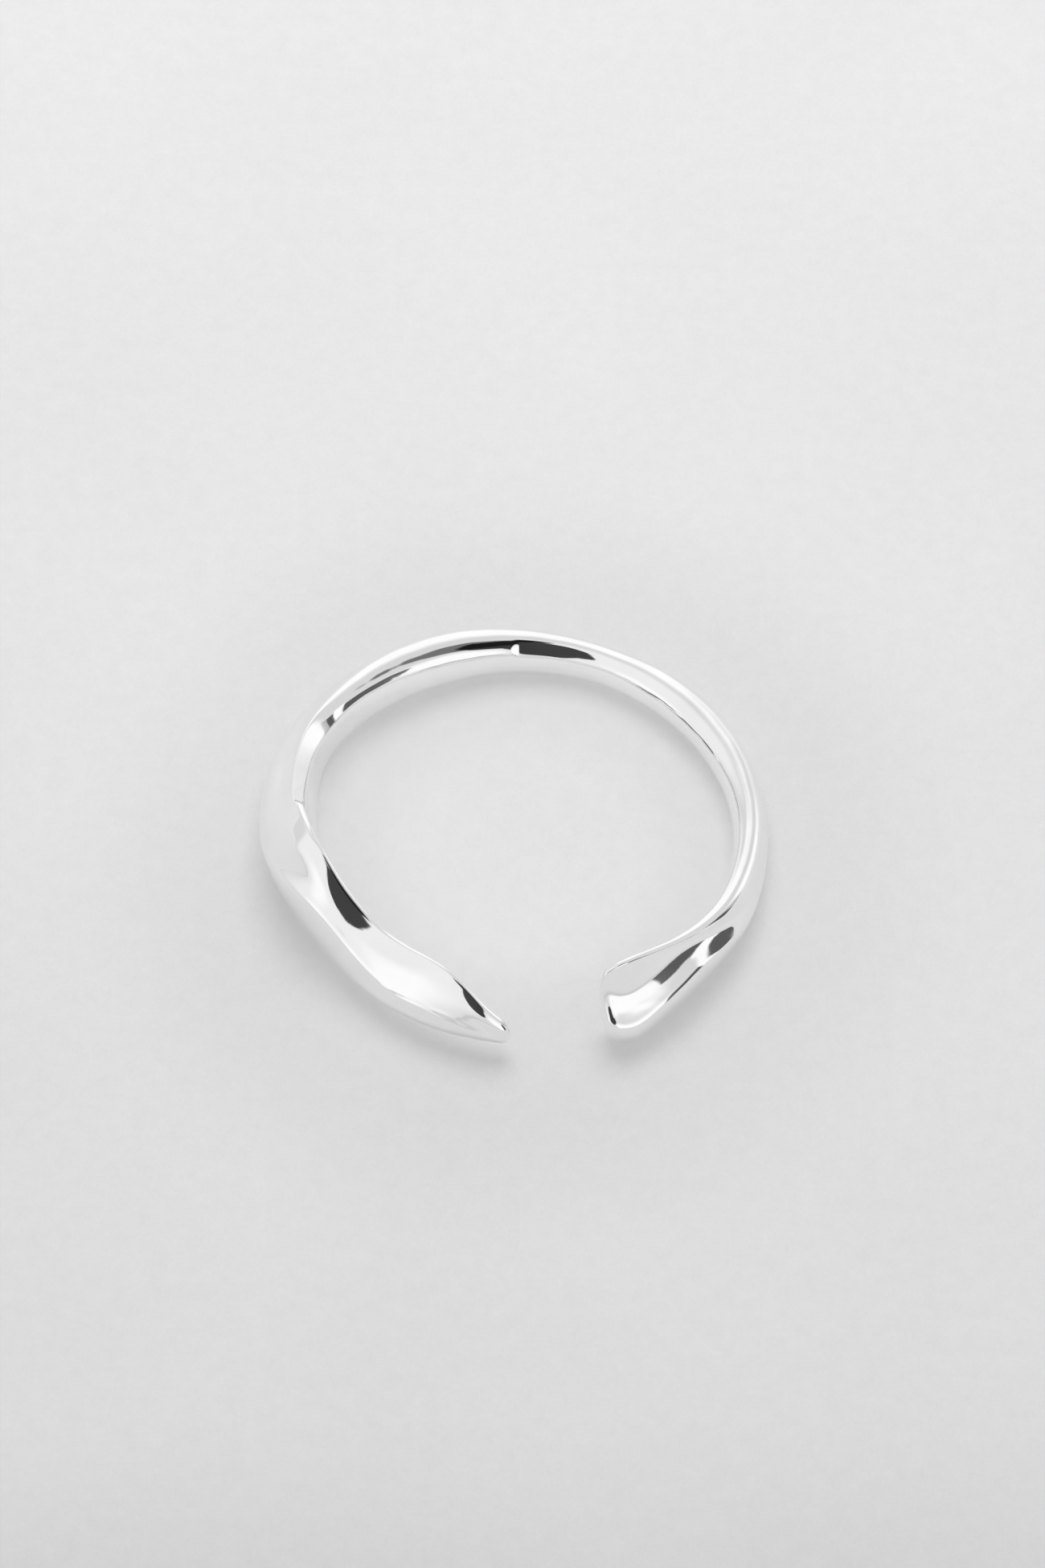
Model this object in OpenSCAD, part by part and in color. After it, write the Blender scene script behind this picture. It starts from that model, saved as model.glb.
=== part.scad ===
// An open finger ring, cast in one piece of silver and lying on its side.
// A plain wire runs round the back. At the left it twists and flattens into a folded leaf with
// a sharp ridge, and at the right it widens into a short spade with a hollowed, flaring face.
// The two tips stop short of each other at the front.
// Sizes are in mm, with +X to the right, +Y to the back and +Z up. The origin is the centre of
// the finger hole, on the table.

/* [Size] */
// Inner diameter of the finger hole
hole_d = 17; // [15:0.5:20]
// Height of the leaf's ridge above the table
leaf_h = 4.9; // [4.2:0.1:5.8]
// Thickness of the wire behind the finger hole
wire_t = 1.65; // [1.4:0.05:2]

/* [Detail] */
// How far the rounding of the two tips reaches along the ring
tip_round = 0.45; // [0.3:0.05:0.6]
// Sections drawn between two rows of the table
steps = 4; // [2:1:4]

/* [Hidden] */

// Columns of the table, in degrees and mm
ANGLE = 0; // place round the ring, from +X towards +Y
INSET = 1; // inner face at the foot, outwards from the hole's nominal radius
LEAN = 2; // how far the crest stands outwards from the foot
FOOT = 3; // lowest point of the section above the table
CREST = 4; // highest point of the section above the table
BELLY = 5; // greatest thickness, low on the outer face
TOP = 6; // thickness just under the crest
RISE = 7; // height of the belly above the foot
EDGE = 8; // slope at which the crest's rounding stops
FOLD = 9; // slope of the outer face just under the crest
FLARE = 10; // slope of the outer face just above the belly

// One section of the ring for each row, from the right tip round the back to the left tip
SECTIONS = [
    // angle, inset, lean, foot, crest, belly, top, rise, edge, fold, flare
    // spade with a blunt end, a straight upper edge and a face that flares to its lower edge
    [-66.6, -0.07, -0.34, 0.20, 4.14, 1.60, 0.46, 1.58, 70, 15, 50],
    [-64.3, -0.08, -0.35, 0.02, 4.30, 1.69, 0.48, 1.60, 66, 15, 50],
    [-61.0, -0.10, -0.35, 0.00, 4.33, 1.68, 0.48, 1.60, 60, 15, 50],
    [-55.0, -0.15, -0.33, 0.00, 4.11, 1.56, 0.50, 1.85, 56, 17, 50],
    [-46.0, -0.20, -0.24, 0.00, 3.57, 1.44, 0.55, 2.10, 53, 16, 50],
    [-37.0, -0.18, -0.10, 0.00, 3.25, 1.32, 0.70, 2.00, 46, 12, 48],
    [-25.0, -0.15, 0.00, 0.00, 2.90, 1.42, 1.00, 1.40, 25, 5, 34],
    // wire, with a flatter stretch near 70 degrees
    [-10.0, -0.13, 0.00, 0.10, 2.50, 1.36, 1.12, 0.90, 5, 5, 10],
    [10.0, -0.04, 0.00, 0.25, 2.20, 1.35, 1.31, 0.90, 0, 0, 8],
    [30.0, -0.23, 0.00, 0.30, 2.10, 1.60, 1.58, 0.90, 0, 0, 8],
    [50.0, -0.35, 0.00, 0.20, 2.10, 1.65, 1.63, 0.90, 0, 0, 8],
    [70.0, -0.18, 0.00, 0.10, 2.00, 1.25, 1.23, 0.80, 0, 0, 8],
    [90.0, -0.25, 0.00, 0.00, 2.20, 1.55, 1.53, 1.00, 0, 0, 8],
    [110.0, -0.32, 0.00, 0.00, 2.50, 2.08, 1.95, 1.10, 0, 0, 8],
    // twist, where the wire swings outwards and its outer face starts to lean back
    [126.0, -0.15, 0.00, 0.00, 2.85, 2.15, 1.75, 1.20, 5, 5, 8],
    [140.0, 0.20, 0.00, 0.00, 2.90, 1.80, 1.25, 1.40, 20, 20, 10],
    [150.0, 0.35, 0.05, 0.00, 3.20, 1.72, 0.95, 1.60, 30, 30, 10],
    [160.0, 0.18, 0.20, 0.00, 3.60, 1.90, 0.75, 1.80, 35, 35, 15],
    [169.0, -0.20, 0.45, 0.00, 4.00, 2.05, 0.60, 1.90, 35, 35, 15],
    [178.0, -0.45, 0.70, 0.00, 4.40, 2.15, 0.50, 2.00, 35, 35, 15],
    // leaf, with its ridge at the crest and a face that slopes down to a rounded belly
    [187.0, -0.30, 0.30, 0.00, 4.90, 2.14, 0.45, 2.40, 46, 46, 30],
    [196.0, -0.20, -0.10, 0.00, 4.98, 1.80, 0.46, 2.90, 64, 64, 46],
    [206.0, -0.15, -0.48, 0.25, 4.36, 1.52, 0.52, 3.15, 74, 74, 52],
    [217.0, -0.15, -0.86, 0.60, 3.50, 1.32, 0.56, 2.05, 76, 74, 48],
    [229.0, -0.15, -1.00, 0.75, 3.25, 1.28, 0.52, 1.35, 74, 58, 34],
    [240.0, -0.15, -0.98, 0.85, 3.55, 1.20, 0.44, 1.20, 76, 45, 22],
    // leaf's tip, held a little above the table
    [249.0, -0.10, -0.78, 0.90, 3.55, 1.15, 0.38, 1.10, 76, 38, 20],
    [256.0, -0.05, -0.38, 0.95, 3.18, 1.02, 0.42, 0.95, 60, 43, 20],
    [260.5, -0.02, -0.10, 0.92, 2.70, 0.92, 0.48, 0.80, 62, 58, 24],
    [264.0, 0.05, -0.02, 0.90, 2.32, 0.78, 0.50, 0.60, 58, 56, 20]
];

// Share of each driving size that a column follows
tall = leaf_h / 4.9;
thick = wire_t / 1.65;
SCALE = [1, 1, 1, tall, tall, thick, thick, tall, 1, 1, 1];
function sized(row) = [for (i = [0:10]) row[i] * SCALE[i]];

// The table with a row added beyond each end, so that the ring starts and stops at its end rows
last = len(SECTIONS) - 1;
table = concat(
    [sized(2 * SECTIONS[0] - SECTIONS[1])],
    [for (row = SECTIONS) sized(row)],
    [sized(2 * SECTIONS[last] - SECTIONS[last - 1])]
);

// Weights of four neighbouring rows at t from 0 to 1, which leave no corner along the ring
function weights(t) = [
    pow(1 - t, 3),
    3 * pow(t, 3) - 6 * pow(t, 2) + 4,
    1 + 3 * t + 3 * pow(t, 2) - 3 * pow(t, 3),
    pow(t, 3)
] / 6;
function section(i, t) = weights(t) * [table[i], table[i + 1], table[i + 2], table[i + 3]];

// Point at t on the face's curve, which leaves a towards b and reaches d from c
function curve(a, b, c, d, t) =
    pow(1 - t, 3) * a + 3 * t * pow(1 - t, 2) * b + 3 * pow(t, 2) * (1 - t) * c + pow(t, 3) * d;

// Point at an angle on an ellipse
function ellipse(centre, rx, rz, angle) = centre + [rx * cos(angle), rz * sin(angle)];

// Outline of a section as [outwards from the inner face, height]. It runs over the crest, down
// the outer face, round the foot and up the inner wall.
function outline(s) =
    let (
        crest_r = s[TOP] / 2,
        crest_h = min(1.3 * crest_r, 0.45 * (s[CREST] - s[FOOT])),
        crest_c = [crest_r, s[CREST] - crest_h],
        turn = atan2(sin(s[EDGE]) * crest_h, cos(s[EDGE]) * crest_r),
        lip_r = 0.3 * s[BELLY],
        belly_z = s[FOOT] + s[RISE],
        lip_c = [s[BELLY] - lip_r, belly_z],
        a = ellipse(crest_c, crest_r, crest_h, turn),
        d = ellipse(lip_c, lip_r, lip_r, s[FLARE]),
        reach = 0.45 * norm(d - a),
        b = a + reach * [sin(s[FOLD]), -cos(s[FOLD])],
        c = d + reach * [-sin(s[FLARE]), cos(s[FLARE])],
        foot_x = 0.45 * s[BELLY],
        foot_h = min(1.3 * foot_x, s[RISE]),
        wall_low = s[FOOT] + foot_h,
        wall_high = s[CREST] - crest_h
    )
    concat(
        [for (k = [0:7]) ellipse(crest_c, crest_r, crest_h, 180 + (turn - 180) * k / 8)],
        [for (k = [0:9]) curve(a, b, c, d, k / 10)],
        [for (k = [0:2]) ellipse(lip_c, lip_r, lip_r, s[FLARE] * (1 - k / 3))],
        [for (k = [0:5]) ellipse([foot_x, belly_z], s[BELLY] - foot_x, s[RISE], -15 * k)],
        [for (k = [0:5]) ellipse([foot_x, wall_low], foot_x, foot_h, -90 - 15 * k)],
        [for (k = [0:5]) [0, wall_low + (wall_high - wall_low) * k / 6]]
    );

// Section as [distance from the hole's axis, height], leaning with its height
function upright(s) = [
    for (p = outline(s))
        [hole_d / 2 + s[INSET] + p[0] + s[LEAN] * (p[1] - s[FOOT]) / (s[CREST] - s[FOOT]), p[1]]
];

// Ring of points of a section, stood at its angle round the hole
function stand(points, angle) = [for (p = points) [p[0] * cos(angle), p[0] * sin(angle), p[1]]];

// Half width and half height of a section, and its middle
function half(points) = [
    for (i = [0:1]) (max([for (p = points) p[i]]) - min([for (p = points) p[i]])) / 2
];
function middle(points) = [
    for (i = [0:1]) (max([for (p = points) p[i]]) + min([for (p = points) p[i]])) / 2
];

// Section drawn in around its middle for a rounded tip, at an angle from 0 to 90 degrees. The
// corners are rounded twice as far in height as in thickness.
function drawn_in(points, angle) =
    let (
        m = middle(points),
        h = half(points),
        inset = [min(tip_round, 0.7 * h[0]), min(2 * tip_round, 0.7 * h[1])] * (1 - cos(angle))
    )
    [for (p = points) [for (i = [0:1]) m[i] + (p[i] - m[i]) * (h[i] - inset[i]) / h[i]]];

// Rounded tip beyond the section s, which carries on with the slope of each column for a degree
function tip(s, slope, angle) =
    let (
        ahead = tip_round * sin(angle) / middle(upright(s))[0] * 180 / PI,
        beyond = s + slope * ahead
    )
    stand(drawn_in(upright(beyond), angle), beyond[ANGLE]);

first_section = section(0, 0);
last_section = section(last - 1, 1);
first_slope = (table[1] - table[2]) / (table[2][ANGLE] - table[1][ANGLE]);
last_slope = (table[last + 1] - table[last]) / (table[last + 1][ANGLE] - table[last][ANGLE]);
rings = concat(
    [for (angle = [90, 65, 45, 25]) tip(first_section, first_slope, angle)],
    [
        for (i = [0:last - 1], k = [0:steps - 1])
            let (s = section(i, k / steps)) stand(upright(s), s[ANGLE])
    ],
    [stand(upright(last_section), last_section[ANGLE])],
    [for (angle = [25, 45, 65, 90]) tip(last_section, last_slope, angle)]
);

// Middle of a ring of points
function hub(ring) = [for (i = [0:2]) sum([for (p = ring) p[i]]) / len(ring)];
function sum(values) = values * [for (v = values) 1];

// Skin through a list of closed rings, with a flat face round a hub at each end
module skin(rings) {
    around = len(rings[0]);
    along = len(rings);
    first_hub = along * around;
    last_hub = first_hub + 1;
    sides = [
        for (i = [0:along - 2], j = [0:around - 1])
            let (
                near = i * around,
                far = near + around,
                next = (j + 1) % around
            )
            each [
                [near + j, far + j, far + next],
                [near + j, far + next, near + next]
            ]
    ];
    ends = [
        for (j = [0:around - 1])
            let (
                next = (j + 1) % around,
                far = (along - 1) * around
            )
            each [
                [j, next, first_hub],
                [far + next, far + j, last_hub]
            ]
    ];
    polyhedron(
        points = concat([for (ring = rings) each ring], [hub(rings[0]), hub(rings[along - 1])]),
        faces = concat(sides, ends)
    );
}

module ring_band() {
    color("silver")
        skin(rings);
}

ring_band();
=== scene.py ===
import bpy
import math
import numpy as np
from mathutils import Matrix, Vector


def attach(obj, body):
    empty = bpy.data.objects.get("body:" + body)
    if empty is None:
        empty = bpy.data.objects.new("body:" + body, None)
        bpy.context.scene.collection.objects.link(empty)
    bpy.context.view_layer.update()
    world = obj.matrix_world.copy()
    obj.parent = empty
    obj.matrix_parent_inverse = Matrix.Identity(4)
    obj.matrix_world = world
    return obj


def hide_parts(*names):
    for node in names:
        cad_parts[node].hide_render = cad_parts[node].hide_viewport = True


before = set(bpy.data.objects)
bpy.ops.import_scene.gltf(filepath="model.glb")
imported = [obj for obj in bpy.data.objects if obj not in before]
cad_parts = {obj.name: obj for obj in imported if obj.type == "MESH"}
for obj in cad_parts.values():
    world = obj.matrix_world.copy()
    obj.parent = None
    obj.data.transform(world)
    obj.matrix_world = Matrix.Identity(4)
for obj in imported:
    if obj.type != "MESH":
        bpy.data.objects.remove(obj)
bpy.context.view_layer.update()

MM = 0.001
HOLE_R = 8.5  # nominal radius of the finger hole, in mm

# One section of the ring for each row, from the right tip round the back to the left tip. The
# columns are in degrees and mm:
# angle: place round the ring, from +X towards +Y
# inset: inner face at the foot, outwards from the hole's nominal radius
# lean: how far the crest stands outwards from the foot
# foot, crest: lowest and highest point of the section above the table
# belly: greatest thickness, low on the outer face
# top: thickness just under the crest
# rise: height of the belly above the foot
# edge: slope at which the crest's rounding stops
# fold: slope of the outer face just under the crest
# flare: slope of the outer face just above the belly
SECTIONS = [
    # angle, inset, lean, foot, crest, belly, top, rise, edge, fold, flare
    # spade with a blunt end, a straight upper edge and a face that flares to its lower edge
    [-66.6, -0.07, -0.34, 0.20, 4.14, 1.60, 0.46, 1.58, 70, 15, 50],
    [-64.3, -0.08, -0.35, 0.02, 4.30, 1.69, 0.48, 1.60, 66, 15, 50],
    [-61.0, -0.10, -0.35, 0.00, 4.33, 1.68, 0.48, 1.60, 60, 15, 50],
    [-55.0, -0.15, -0.33, 0.00, 4.11, 1.56, 0.50, 1.85, 56, 17, 50],
    [-46.0, -0.20, -0.24, 0.00, 3.57, 1.44, 0.55, 2.10, 53, 16, 50],
    [-37.0, -0.18, -0.10, 0.00, 3.25, 1.32, 0.70, 2.00, 46, 12, 48],
    [-25.0, -0.15, 0.00, 0.00, 2.90, 1.42, 1.00, 1.40, 25, 5, 34],
    # wire, with a flatter stretch near 70 degrees
    [-10.0, -0.13, 0.00, 0.10, 2.50, 1.36, 1.12, 0.90, 5, 5, 10],
    [10.0, -0.04, 0.00, 0.25, 2.20, 1.35, 1.31, 0.90, 0, 0, 8],
    [30.0, -0.23, 0.00, 0.30, 2.10, 1.60, 1.58, 0.90, 0, 0, 8],
    [50.0, -0.35, 0.00, 0.20, 2.10, 1.65, 1.63, 0.90, 0, 0, 8],
    [70.0, -0.18, 0.00, 0.10, 2.00, 1.25, 1.23, 0.80, 0, 0, 8],
    [90.0, -0.25, 0.00, 0.00, 2.20, 1.55, 1.53, 1.00, 0, 0, 8],
    [110.0, -0.32, 0.00, 0.00, 2.50, 2.08, 1.95, 1.10, 0, 0, 8],
    # twist, where the wire swings outwards and its outer face starts to lean back
    [126.0, -0.15, 0.00, 0.00, 2.85, 2.15, 1.75, 1.20, 5, 5, 8],
    [140.0, 0.20, 0.00, 0.00, 2.90, 1.80, 1.25, 1.40, 20, 20, 10],
    [150.0, 0.35, 0.05, 0.00, 3.20, 1.72, 0.95, 1.60, 30, 30, 10],
    [160.0, 0.18, 0.20, 0.00, 3.60, 1.90, 0.75, 1.80, 35, 35, 15],
    [169.0, -0.20, 0.45, 0.00, 4.00, 2.05, 0.60, 1.90, 35, 35, 15],
    [178.0, -0.45, 0.70, 0.00, 4.40, 2.15, 0.50, 2.00, 35, 35, 15],
    # leaf, with its ridge at the crest and a face that slopes down to a rounded belly
    [187.0, -0.30, 0.30, 0.00, 4.90, 2.14, 0.45, 2.40, 46, 46, 30],
    [196.0, -0.20, -0.10, 0.00, 4.98, 1.80, 0.46, 2.90, 64, 64, 46],
    [206.0, -0.15, -0.48, 0.25, 4.36, 1.52, 0.52, 3.15, 74, 74, 52],
    [217.0, -0.15, -0.86, 0.60, 3.50, 1.32, 0.56, 2.05, 76, 74, 48],
    [229.0, -0.15, -1.00, 0.75, 3.25, 1.28, 0.52, 1.35, 74, 58, 34],
    [240.0, -0.15, -0.98, 0.85, 3.55, 1.20, 0.44, 1.20, 76, 45, 22],
    # leaf's tip, held a little above the table
    [249.0, -0.10, -0.78, 0.90, 3.55, 1.15, 0.38, 1.10, 76, 38, 20],
    [256.0, -0.05, -0.38, 0.95, 3.18, 1.02, 0.42, 0.95, 60, 43, 20],
    [260.5, -0.02, -0.10, 0.92, 2.70, 0.92, 0.48, 0.80, 62, 58, 24],
    [264.0, 0.05, -0.02, 0.90, 2.32, 0.78, 0.50, 0.60, 58, 56, 20],
]
STEPS = 20  # sections drawn between two rows of the table

TIP_ROUND = 0.45  # reach of the tips' rounding along the ring, in mm
TIP_RINGS = 16  # sections drawn over each tip's rounding

# Details that only the scene has: their places in degrees round the ring and sizes in mm. A
# place that is a pair of angles is a stretch over which a detail starts or ends.
SEAM = 92.2  # solder seam at the back, where the flat on its right ends
SEAM_NEAR, SEAM_STEP = 2, 0.1  # reach and spacing of the finer sections at the seam
SEAM_FLAT = {"slope": 46, "depth": 0.05, "soft": 0.02}
SEAM_FLAT_STARTS, SEAM_FLAT_ENDS = (66, 82), (SEAM - 1.2, SEAM + 1.2)
TWIST_FLAT = {"slope": 52, "depth": 0.28, "soft": 0.07}  # ledge that ends in a notch
TWIST_FLAT_STARTS, TWIST_FLAT_ENDS = (134, 158), (179.5, 182.0)
NUB_AT, NUB_WIDTH, NUB = 193.5, 2.6, 0.16  # bulge of the rim after the notch
LEAF_RIM = 0.12  # the leaf's rim is this much thicker than the solid's
LEAF_RIM_STARTS = (197, 210)

# Points of a section's outline on each of its stretches
CREST_POINTS, FACE_POINTS, LIP_POINTS, FOOT_POINTS, WALL_POINTS = 24, 40, 8, 16, 24


def spline(t):
    """Shares of four rows of the table at t, from 0 to 1, between the middle two."""
    second = 3 * t**3 - 6 * t**2 + 4
    third = 1 + 3 * t + 3 * t**2 - 3 * t**3
    return np.array([(1 - t) ** 3, second, third, t**3]) / 6


def stations():
    """The table blended smoothly: one row for each section that is drawn."""
    rows = np.array(SECTIONS, float)
    rows = np.vstack([2 * rows[0] - rows[1], rows, 2 * rows[-1] - rows[-2]])
    out = []
    for i in range(len(rows) - 3):
        for k in range(STEPS + (i == len(rows) - 4)):
            out.append(spline(k / STEPS) @ rows[i : i + 4])
    out = np.array(out)
    angle = out[:, 0]
    near_seam = np.arange(SEAM - SEAM_NEAR, SEAM + SEAM_NEAR + SEAM_STEP, SEAM_STEP)
    half = SEAM_NEAR + SEAM_STEP / 2
    far = out[(angle < SEAM - half) | (angle > SEAM + half)]
    more = np.stack([np.interp(near_seam, angle, column) for column in out.T], 1)
    out = np.vstack([far, more])
    return out[np.argsort(out[:, 0])]


def ramp(low, high, x):
    """0 below low, 1 above high and smooth between."""
    t = np.clip((x - low) / (high - low), 0, 1)
    return t * t * (3 - 2 * t)


def filed(r, z, crest, share, slope, depth, soft):
    """A flat filed along the wire's inner edge. It cuts off depth mm at a slope in degrees,
    its borders are rounded over soft mm, and it fades to nothing where share is 0."""
    crest_x, crest_z, crest_r, crest_h = crest
    nr, nz = -math.cos(math.radians(slope)), math.sin(math.radians(slope))
    plane = np.hypot(crest_r * nr, crest_h * nz) - depth
    over = (r - crest_x) * nr + (z - crest_z) * nz - plane
    over = 0.5 * (over + np.hypot(over, soft)) * (r < crest_x + crest_r) * share
    return r - over * nr, z - over * nz


def waved(angle, r, z, mid_r, mid_z):
    """Slight unevenness left by hand polishing, under a hundredth of a mm. It is held off the
    foot, so that the ring still lies on the table."""
    turn = np.arctan2(z - mid_z, r - mid_r)
    rise = 0.004 * np.sin(13 * angle + 2 * turn + 0.4)
    rise += 0.003 * np.sin(22 * angle - 3 * turn + 1.9)
    rise += 0.0015 * np.sin(41 * angle + 4 * turn + 3.1)
    return r + rise * np.cos(turn), z + rise * np.sin(turn) * ramp(0, 0.6, z)


def outlines(s):
    """Each section's outline as distance from the hole's axis and height, in mm. It goes over
    the crest, down the outer face, round the belly and the foot and up the inner wall."""
    columns = [s[:, i : i + 1] for i in range(s.shape[1])]
    angle, inset, lean, foot, crest, belly, top, rise, edge, fold, flare = columns
    top = top + NUB * np.exp(-(((angle - NUB_AT) / NUB_WIDTH) ** 2))
    top = top + LEAF_RIM * ramp(*LEAF_RIM_STARTS, angle)
    edge, fold, flare = np.radians(edge), np.radians(fold), np.radians(flare)
    # the crest's rounding is an oval, and it stops where the slope is edge
    crest_r = top / 2
    crest_h = np.minimum(1.3 * crest_r, 0.45 * (crest - foot))
    turn = np.arctan2(np.sin(edge) * crest_h, np.cos(edge) * crest_r)
    # the outer face is a curve from a under the crest to d above the belly, drawn by b and c
    lip_r = 0.3 * belly
    belly_z = foot + rise
    ax, az = crest_r + crest_r * np.cos(turn), crest - crest_h + crest_h * np.sin(turn)
    dx, dz = belly - lip_r + lip_r * np.cos(flare), belly_z + lip_r * np.sin(flare)
    reach = 0.45 * np.hypot(dx - ax, dz - az)
    bx, bz = ax + reach * np.sin(fold), az - reach * np.cos(fold)
    cx, cz = dx - reach * np.sin(flare), dz + reach * np.cos(flare)
    # the foot is two quarters of an oval, which meet at its lowest point
    foot_x = 0.45 * belly
    foot_h = np.minimum(1.3 * foot_x, rise)
    wall_low, wall_high = foot + foot_h, crest - crest_h
    xs, zs = [], []

    def arc(x, z, rx, rz, start, end, n):
        a = start + (end - start) * np.arange(n) / n
        xs.append(x + rx * np.cos(a))
        zs.append(z + rz * np.sin(a))

    arc(crest_r, wall_high, crest_r, crest_h, math.pi, turn, CREST_POINTS)
    t = np.arange(FACE_POINTS) / FACE_POINTS
    b = [(1 - t) ** 3, 3 * t * (1 - t) ** 2, 3 * t**2 * (1 - t), t**3]
    xs.append(b[0] * ax + b[1] * bx + b[2] * cx + b[3] * dx)
    zs.append(b[0] * az + b[1] * bz + b[2] * cz + b[3] * dz)
    arc(belly - lip_r, belly_z, lip_r, lip_r, flare, 0, LIP_POINTS)
    arc(foot_x, belly_z, belly - foot_x, rise, 0, -math.pi / 2, FOOT_POINTS)
    arc(foot_x, wall_low, foot_x, foot_h, -math.pi / 2, -math.pi, FOOT_POINTS)
    xs.append(np.zeros((len(s), WALL_POINTS)))
    zs.append(wall_low + (wall_high - wall_low) * np.arange(WALL_POINTS) / WALL_POINTS)
    x, z = np.hstack(xs), np.hstack(zs)

    inner = HOLE_R + inset
    r = inner + x + lean * (z - foot) / (crest - foot)
    crest_mid = inner + crest_r + lean * (wall_high - foot) / (crest - foot)
    crest_oval = (crest_mid, wall_high, crest_r, crest_h)
    by_seam = ramp(*SEAM_FLAT_STARTS, angle) * (1 - ramp(*SEAM_FLAT_ENDS, angle))
    r, z = filed(r, z, crest_oval, by_seam, **SEAM_FLAT)
    by_twist = ramp(*TWIST_FLAT_STARTS, angle) * (1 - ramp(*TWIST_FLAT_ENDS, angle))
    r, z = filed(r, z, crest_oval, by_twist, **TWIST_FLAT)
    return waved(np.radians(angle), r, z, inner + belly / 2, (foot + crest) / 2)


def tip(end, before):
    """Sections over a rounded tip, which carries on from the last two rows of the table. Each
    is its points' distances from the axis, their heights and their places round it."""
    slope = (end - before) / abs(end[0] - before[0])
    last_r = outlines(end[None])[0]
    mid_r = (last_r.min() + last_r.max()) / 2
    rings = []
    for k in range(1, TIP_RINGS + 1):
        f = math.pi / 2 * k / TIP_RINGS
        beyond = end + slope * math.degrees(TIP_ROUND * math.sin(f) / mid_r)
        r, z = [v[0] for v in outlines(beyond[None])]
        rm, zm = (r.min() + r.max()) / 2, (z.min() + z.max()) / 2
        rh, zh = np.ptp(r) / 2, np.ptp(z) / 2
        fr = 1 - min(TIP_ROUND, 0.7 * rh) * (1 - math.cos(f)) / rh
        fz = 1 - min(2 * TIP_ROUND, 0.7 * zh) * (1 - math.cos(f)) / zh
        a = np.full_like(r, math.radians(beyond[0]))
        rings.append((rm + (r - rm) * fr, zm + (z - zm) * fz, a))
    r, z, a = rings[-1]
    for share in (0.75, 0.5, 0.25):
        rings.append((rm + (r - rm) * share, zm + (z - zm) * share, a))
    return rings


def ring_points():
    """The ring's sections one after the other, from the right tip to the left, in mm."""
    s = stations()
    r, z = outlines(s)
    a = np.radians(s[:, :1]) + np.zeros_like(r)
    rows = np.array(SECTIONS, float)
    right = tip(rows[0], rows[1])[::-1]
    left = tip(rows[-1], rows[-2])
    parts = zip(zip(*right), (r, z, a), zip(*left))
    r, z, a = [np.vstack([before, body, after]) for before, body, after in parts]
    return np.stack([r * np.cos(a), r * np.sin(a), z], -1)


def ring_mesh():
    """The ring as one closed mesh: a strip between each two sections and a fan at each tip."""
    p = ring_points()
    n, m = p.shape[:2]
    hubs = np.array([p[0].mean(0), p[-1].mean(0)])
    verts = np.vstack([p.reshape(-1, 3), hubs]) * MM
    i, j = np.meshgrid(np.arange(n - 1), np.arange(m), indexing="ij")
    k = (j + 1) % m
    corners = [i * m + j, i * m + k, (i + 1) * m + k, (i + 1) * m + j]
    faces = np.stack(corners, -1).reshape(-1, 4).tolist()
    for q in range(m):
        after = (q + 1) % m
        faces.append([after, q, n * m])
        faces.append([(n - 1) * m + q, (n - 1) * m + after, n * m + 1])
    mesh = bpy.data.meshes.new("silver_ring")
    mesh.from_pydata(verts.tolist(), [], faces)
    mesh.validate()
    mesh.polygons.foreach_set("use_smooth", [True] * len(mesh.polygons))
    mesh.update()
    ob = bpy.data.objects.new("silver_ring", mesh)
    bpy.context.scene.collection.objects.link(ob)
    return ob


class Net:
    """Short calls for the nodes of one tree. An input is a number or another node's output."""

    def __init__(self, tree):
        self.tree = tree
        tree.nodes.clear()

    def node(self, kind, inputs=None, **settings):
        n = self.tree.nodes.new(kind)
        for key, value in settings.items():
            setattr(n, key, value)
        for key, value in (inputs or {}).items():
            self.put(n.inputs[key], value)
        return n

    def put(self, socket, value):
        if isinstance(value, bpy.types.NodeSocket):
            self.tree.links.new(value, socket)
        else:
            socket.default_value = value

    def math(self, op, a, b=0.0, c=0.0):
        return self.node("ShaderNodeMath", {0: a, 1: b, 2: c}, operation=op).outputs[0]

    def mul(self, a, b):
        return self.math("MULTIPLY", a, b)

    def add(self, a, b):
        return self.math("ADD", a, b)

    def smooth(self, low, high, x):
        """0 below low, 1 above high and smooth between."""
        n = self.node("ShaderNodeMapRange", {"Value": x, "From Min": low, "From Max": high})
        n.interpolation_type = "SMOOTHSTEP"
        return n.outputs[0]

    def less(self, share):
        """1 less a share."""
        return self.math("SUBTRACT", 1.0, share)

    def band(self, x, low, high, soft):
        """1 between low and high, with borders that are soft wide."""
        h = soft / 2
        above = self.smooth(low - h, low + h, x)
        return self.mul(above, self.less(self.smooth(high - h, high + h, x)))

    def noise(self, at, scale, detail, roughness):
        """Noise from 0 to 1. Scale is in features for each metre."""
        settings = {"Vector": at, "Scale": scale, "Detail": detail, "Roughness": roughness}
        return self.node("ShaderNodeTexNoise", settings).outputs[0]

    def greys(self, x, low, high, dark, light):
        """A neutral colour: dark where x is low, light where it is high."""
        n = self.node("ShaderNodeValToRGB", {0: x})
        for stop, place, grey in zip(n.color_ramp.elements, (low, high), (dark, light)):
            stop.position = place
            stop.color = (grey, grey, grey, 1)
        return n.outputs[0]


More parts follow.
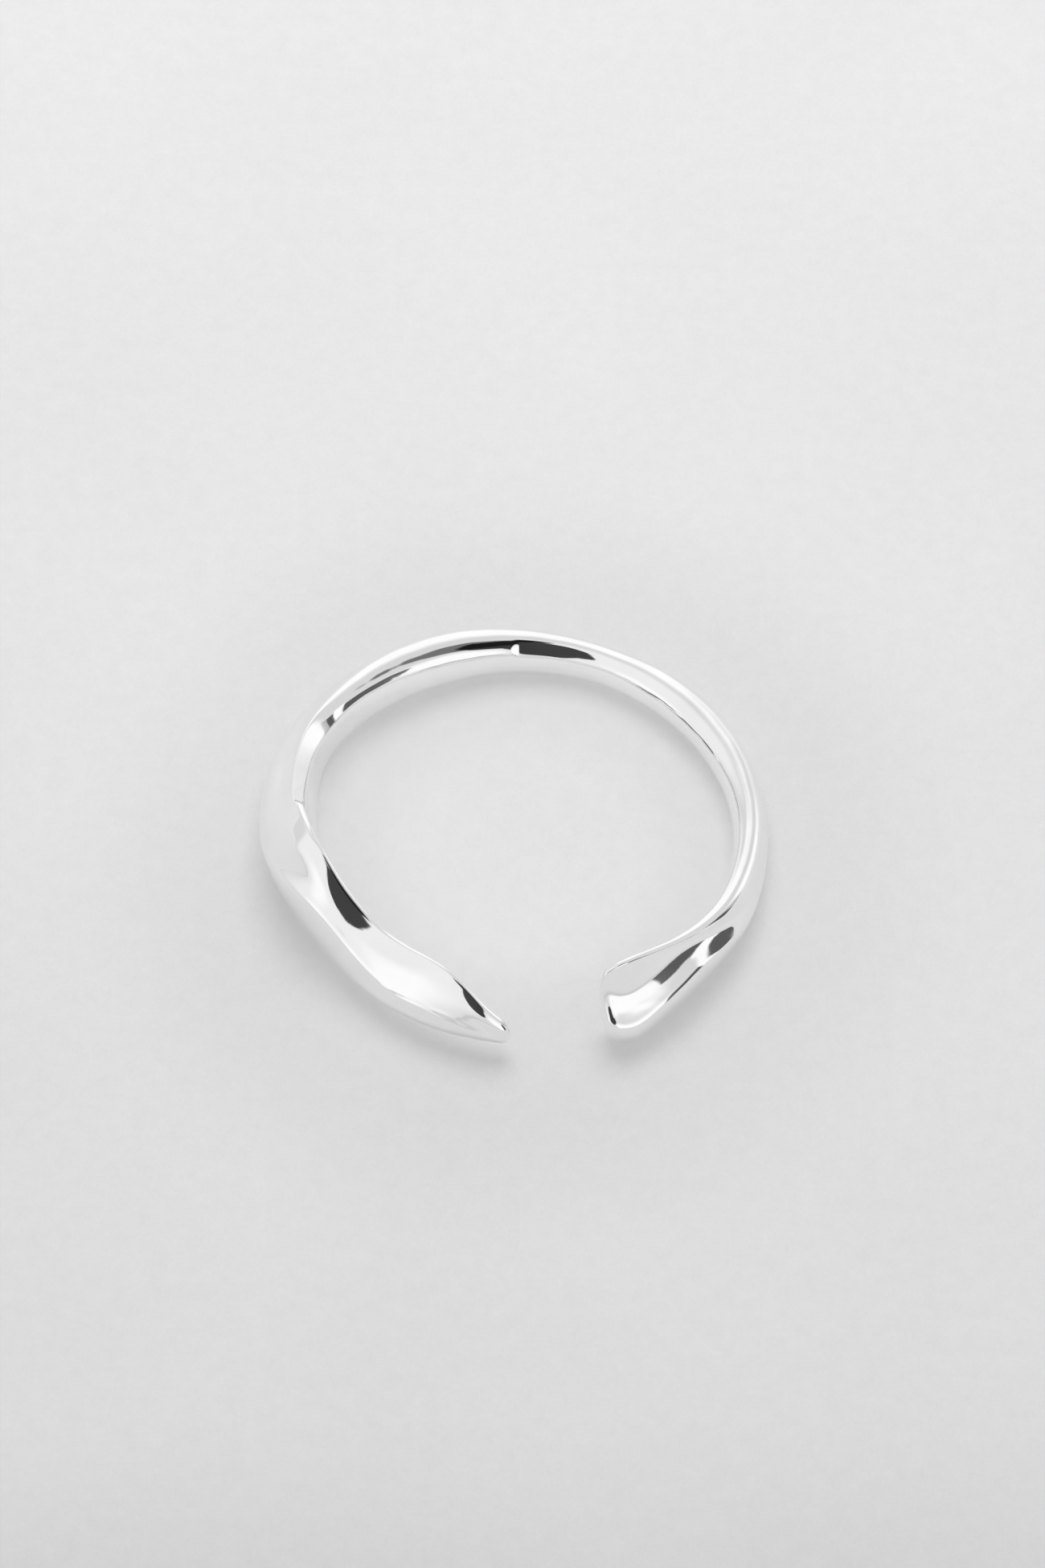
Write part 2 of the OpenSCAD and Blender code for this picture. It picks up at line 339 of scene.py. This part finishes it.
def silver():
    """Polished silver: fine scratches, faint casting waves and slightly duller patches."""
    mat = bpy.data.materials.new("polished_silver")
    mat.use_nodes = True
    net = Net(mat.node_tree)
    at = net.node("ShaderNodeTexCoord").outputs["Object"]
    waves = net.noise(at, 700.0, 2.0, 0.5)
    dull = net.noise(at, 420.0, 5.0, 0.6)
    fine = net.noise(at, 9000.0, 3.0, 0.6)
    # scratches are noise that is stretched 14 times along one direction
    along = {"Vector": at, "Rotation": (0.3, 0.9, 0.5), "Scale": (1.0, 14.0, 14.0)}
    lines = net.noise(net.node("ShaderNodeMapping", along).outputs[0], 1500.0, 2.0, 0.7)
    scratch = net.smooth(0.60, 0.72, lines)
    tint = net.greys(dull, 0.35, 0.65, 0.94, 0.975)
    rough = net.add(net.add(0.03, net.mul(dull, 0.05)), net.mul(scratch, 0.06))
    height = net.add(net.add(net.mul(waves, 0.9), net.mul(fine, 0.02)), net.mul(scratch, -0.01))
    bump = net.node("ShaderNodeBump", {"Strength": 0.5, "Distance": 0.02 * MM, "Height": height})
    look = {"Base Color": tint, "Metallic": 1.0, "Roughness": rough, "Normal": bump.outputs[0]}
    out = net.node("ShaderNodeBsdfPrincipled", look)
    net.node("ShaderNodeOutputMaterial", {"Surface": out.outputs[0]})
    return mat


def paper():
    """Pale matt paper with a fine tooth. Its glow is painted light for the light that a white
    tent throws
    on the table: brighter at the back and far from the ring, with painted shade round the ring
    and along the front. Lengths are in m."""
    mat = bpy.data.materials.new("pale_paper")
    mat.use_nodes = True
    net = Net(mat.node_tree)
    at = net.node("ShaderNodeTexCoord").outputs["Object"]
    tooth = net.noise(at, 6000.0, 3.0, 0.7)
    grain = net.noise(at, 1300.0, 3.0, 0.7)
    cloud = net.noise(at, 60.0, 3.0, 0.5)
    mix = net.add(net.add(net.mul(tooth, 0.35), net.mul(grain, 0.35)), net.mul(cloud, 0.3))
    shade = net.greys(mix, 0.3, 0.7, 0.825, 0.915)
    bump = net.node("ShaderNodeBump", {"Strength": 0.3, "Distance": 0.03 * MM, "Height": tooth})

    # the table's emission below is painted light and painted shade, not a lamp
    depth = net.node("ShaderNodeSeparateXYZ", {0: at}).outputs[1]
    reach = net.node("ShaderNodeVectorMath", {0: at}, operation="LENGTH").outputs["Value"]
    slant = net.node("ShaderNodeClamp", {"Value": depth, "Min": -0.04, "Max": 0.04}).outputs[0]
    # painted light: the glow grows towards the back of the table
    towards_back = net.math("MULTIPLY_ADD", slant, 1.2, 0.26)
    # painted light: the glow is brighter far from the ring
    far_off = net.mul(net.smooth(0.02, 0.25, reach), 0.2)
    # painted shade: the glow is lower along the front of the table
    behind_front = net.mul(net.smooth(-0.036, -0.024, depth), 0.08)
    # painted shade: the glow is lower round the ring, for the tent's light that the ring keeps
    # off the table
    ring_shade = net.mul(net.smooth(0.004, 0.0075, reach), net.smooth(0.019, 0.011, reach))
    painted_glow = net.add(net.add(towards_back, far_off), behind_front)
    painted_glow = net.add(painted_glow, net.mul(ring_shade, -0.06))

    look = {"Base Color": shade, "Roughness": 0.9, "Specular IOR Level": 0.1}
    look |= {"Normal": bump.outputs[0], "Emission Color": shade, "Emission Strength": painted_glow}
    out = net.node("ShaderNodeBsdfPrincipled", look)
    net.node("ShaderNodeOutputMaterial", {"Surface": out.outputs[0]})
    return mat


def studio():
    """A white tent lit from above, with a dark opening at the front and dark cards at the right.

    Directions are in degrees: azimuth 0 is the front and 90 the right, and elevation counts up
    from the table. Only what the silver mirrors has these shapes. The table gets a plain light
    from overhead instead, so that they leave no marks on it."""
    world = bpy.data.worlds.new("studio")
    bpy.context.scene.world = world
    world.use_nodes = True
    net = Net(world.node_tree)
    way = net.node("ShaderNodeTexCoord").outputs["Generated"]
    xyz = net.node("ShaderNodeSeparateXYZ", {0: way}).outputs
    deg = 180 / math.pi
    el = net.mul(net.math("ARCSINE", xyz[2]), deg)
    az = net.mul(net.math("ARCTAN2", xyz[0], net.mul(xyz[1], -1.0)), deg)
    turned = net.math("ABSOLUTE", az)
    less = net.less

    def spot(azimuth, elevation, inside, outside):
        """1 within inside degrees of a direction, 0 beyond outside degrees of it."""
        a, e = math.radians(azimuth), math.radians(elevation)
        v = (math.sin(a) * math.cos(e), -math.cos(a) * math.cos(e), math.sin(e))
        dot = net.node("ShaderNodeVectorMath", {0: way, 1: v}, operation="DOT_PRODUCT")
        apart = net.mul(net.math("ARCCOSINE", dot.outputs["Value"]), deg)
        return less(net.smooth(inside, outside, apart))

    def either(*shares):
        """1 where any of the shares is 1."""
        gap = 1.0
        for share in shares:
            gap = net.mul(gap, less(share))
        return less(gap)

    def dim(light, share, amount):
        """Light less amount of itself where share is 1."""
        return net.mul(light, net.math("MULTIPLY_ADD", share, -amount, 1.0))

    # the brighter walls and cards of the tent, each 1 where it is brightest
    back_wall = net.mul(net.smooth(142, 164, turned), less(net.smooth(38, 66, el)))
    left_wall = net.mul(spot(-60, 45, 35, 60), 0.55)
    left_card = net.mul(spot(-55, 15, 6, 22), 0.9)
    right_card = spot(35, 14, 14, 30)
    low_band = net.mul(less(net.smooth(8, 24, el)), net.smooth(120, 140, turned))
    horizon = net.mul(low_band, 0.5)
    slit = net.mul(net.band(az, 76, 86, 2), net.band(el, -4, 28, 4))
    far_right = spot(116, 14, 8, 22)
    bright = either(back_wall, left_wall, left_card, right_card, horizon, slit, far_right)
    light = net.math("MULTIPLY_ADD", bright, 0.33, 0.70)
    # the dark opening at the front, made of two rounds. The upper one is trimmed at its left
    upper = spot(8, 60, 23, 25)
    upper = net.mul(upper, either(net.smooth(-4, 2, az), less(net.smooth(65, 69, el))))
    upper = net.mul(upper, net.smooth(-38, -32, az))
    lower = spot(-8, 41, 20, 22)
    light = dim(light, either(upper, lower), 0.94)
    # a duller opening beside it, and the dark cards low at the right
    light = dim(light, spot(50, 62, 17, 20), 0.75)
    faint_card = net.mul(net.band(az, 96, 104, 3), 0.4)
    cards = either(net.band(az, 53, 76, 2), net.band(az, 86, 96, 2), faint_card)
    light = dim(light, net.mul(cards, net.band(el, -1, 24, 2)), 0.85)

    overhead = net.math("MULTIPLY_ADD", net.smooth(25, 70, el), 0.28, 0.19)
    path = net.node("ShaderNodeLightPath").outputs
    # a ray that comes from the table by way of the silver gets the plain light too
    straight = net.math("LESS_THAN", path["Diffuse Depth"], 0.5)
    mirrored = net.mul(path["Is Glossy Ray"], straight)
    strength = net.add(net.mul(mirrored, light), net.mul(less(mirrored), overhead))
    bg = net.node("ShaderNodeBackground", {"Color": (1, 1, 1, 1), "Strength": strength})
    net.node("ShaderNodeOutputWorld", {"Surface": bg.outputs[0]})


def lamp():
    """A soft panel over the far side of the table, turned to the ring. It isn't mirrored."""
    behind, above = 0.05, 0.15
    data = bpy.data.lights.new("soft_panel", "AREA")
    data.shape = "SQUARE"
    data.size = 0.1
    data.energy = 0.065
    ob = bpy.data.objects.new("soft_panel", data)
    ob.visible_glossy = False
    ob.location = (0, behind, above)
    ob.rotation_euler = (math.atan2(-behind, above), 0, 0)
    bpy.context.scene.collection.objects.link(ob)


def floor():
    """The table, 1.2 m square and level with the ring's foot."""
    mesh = bpy.data.meshes.new("table_top")
    h = 0.6
    mesh.from_pydata([(-h, -h, 0), (h, -h, 0), (h, h, 0), (-h, h, 0)], [], [(0, 1, 2, 3)])
    ob = bpy.data.objects.new("table_top", mesh)
    bpy.context.scene.collection.objects.link(ob)
    ob.data.materials.append(paper())


def camera():
    """Seen from 59 degrees up at 300 mm, with the hole's centre below the picture's middle."""
    width, height = 1300, 1950  # the picture, in pixels
    hole_px = (651, 1065)  # the hole's centre on the table, in the picture
    px_per_mm = 31.0  # scale at the hole's centre
    elevation = math.radians(59)
    distance = 300.0
    focal = px_per_mm * distance  # in pixels
    sensor = 36.0
    right = Vector((1, 0, 0))
    back = Vector((0, -math.cos(elevation), math.sin(elevation)))
    up = back.cross(right)
    across = (hole_px[0] - width / 2) / focal
    below = (height / 2 - hole_px[1]) / focal
    place = -distance * (-back + across * right + below * up)
    data = bpy.data.cameras.new("camera")
    data.sensor_fit = "AUTO"
    data.sensor_width = sensor
    data.lens = focal * sensor / height
    data.clip_start, data.clip_end = 0.01, 10
    ob = bpy.data.objects.new("camera", data)
    axes = Matrix((right, up, back)).transposed()
    ob.matrix_world = Matrix.Translation(place * MM) @ axes.to_4x4()
    bpy.context.scene.collection.objects.link(ob)
    bpy.context.scene.camera = ob


ring = ring_mesh()
ring.data.materials.append(silver())
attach(ring, "root")
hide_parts("ring_band")
floor()
studio()
lamp()
camera()
bpy.context.scene.view_settings.view_transform = "Standard"
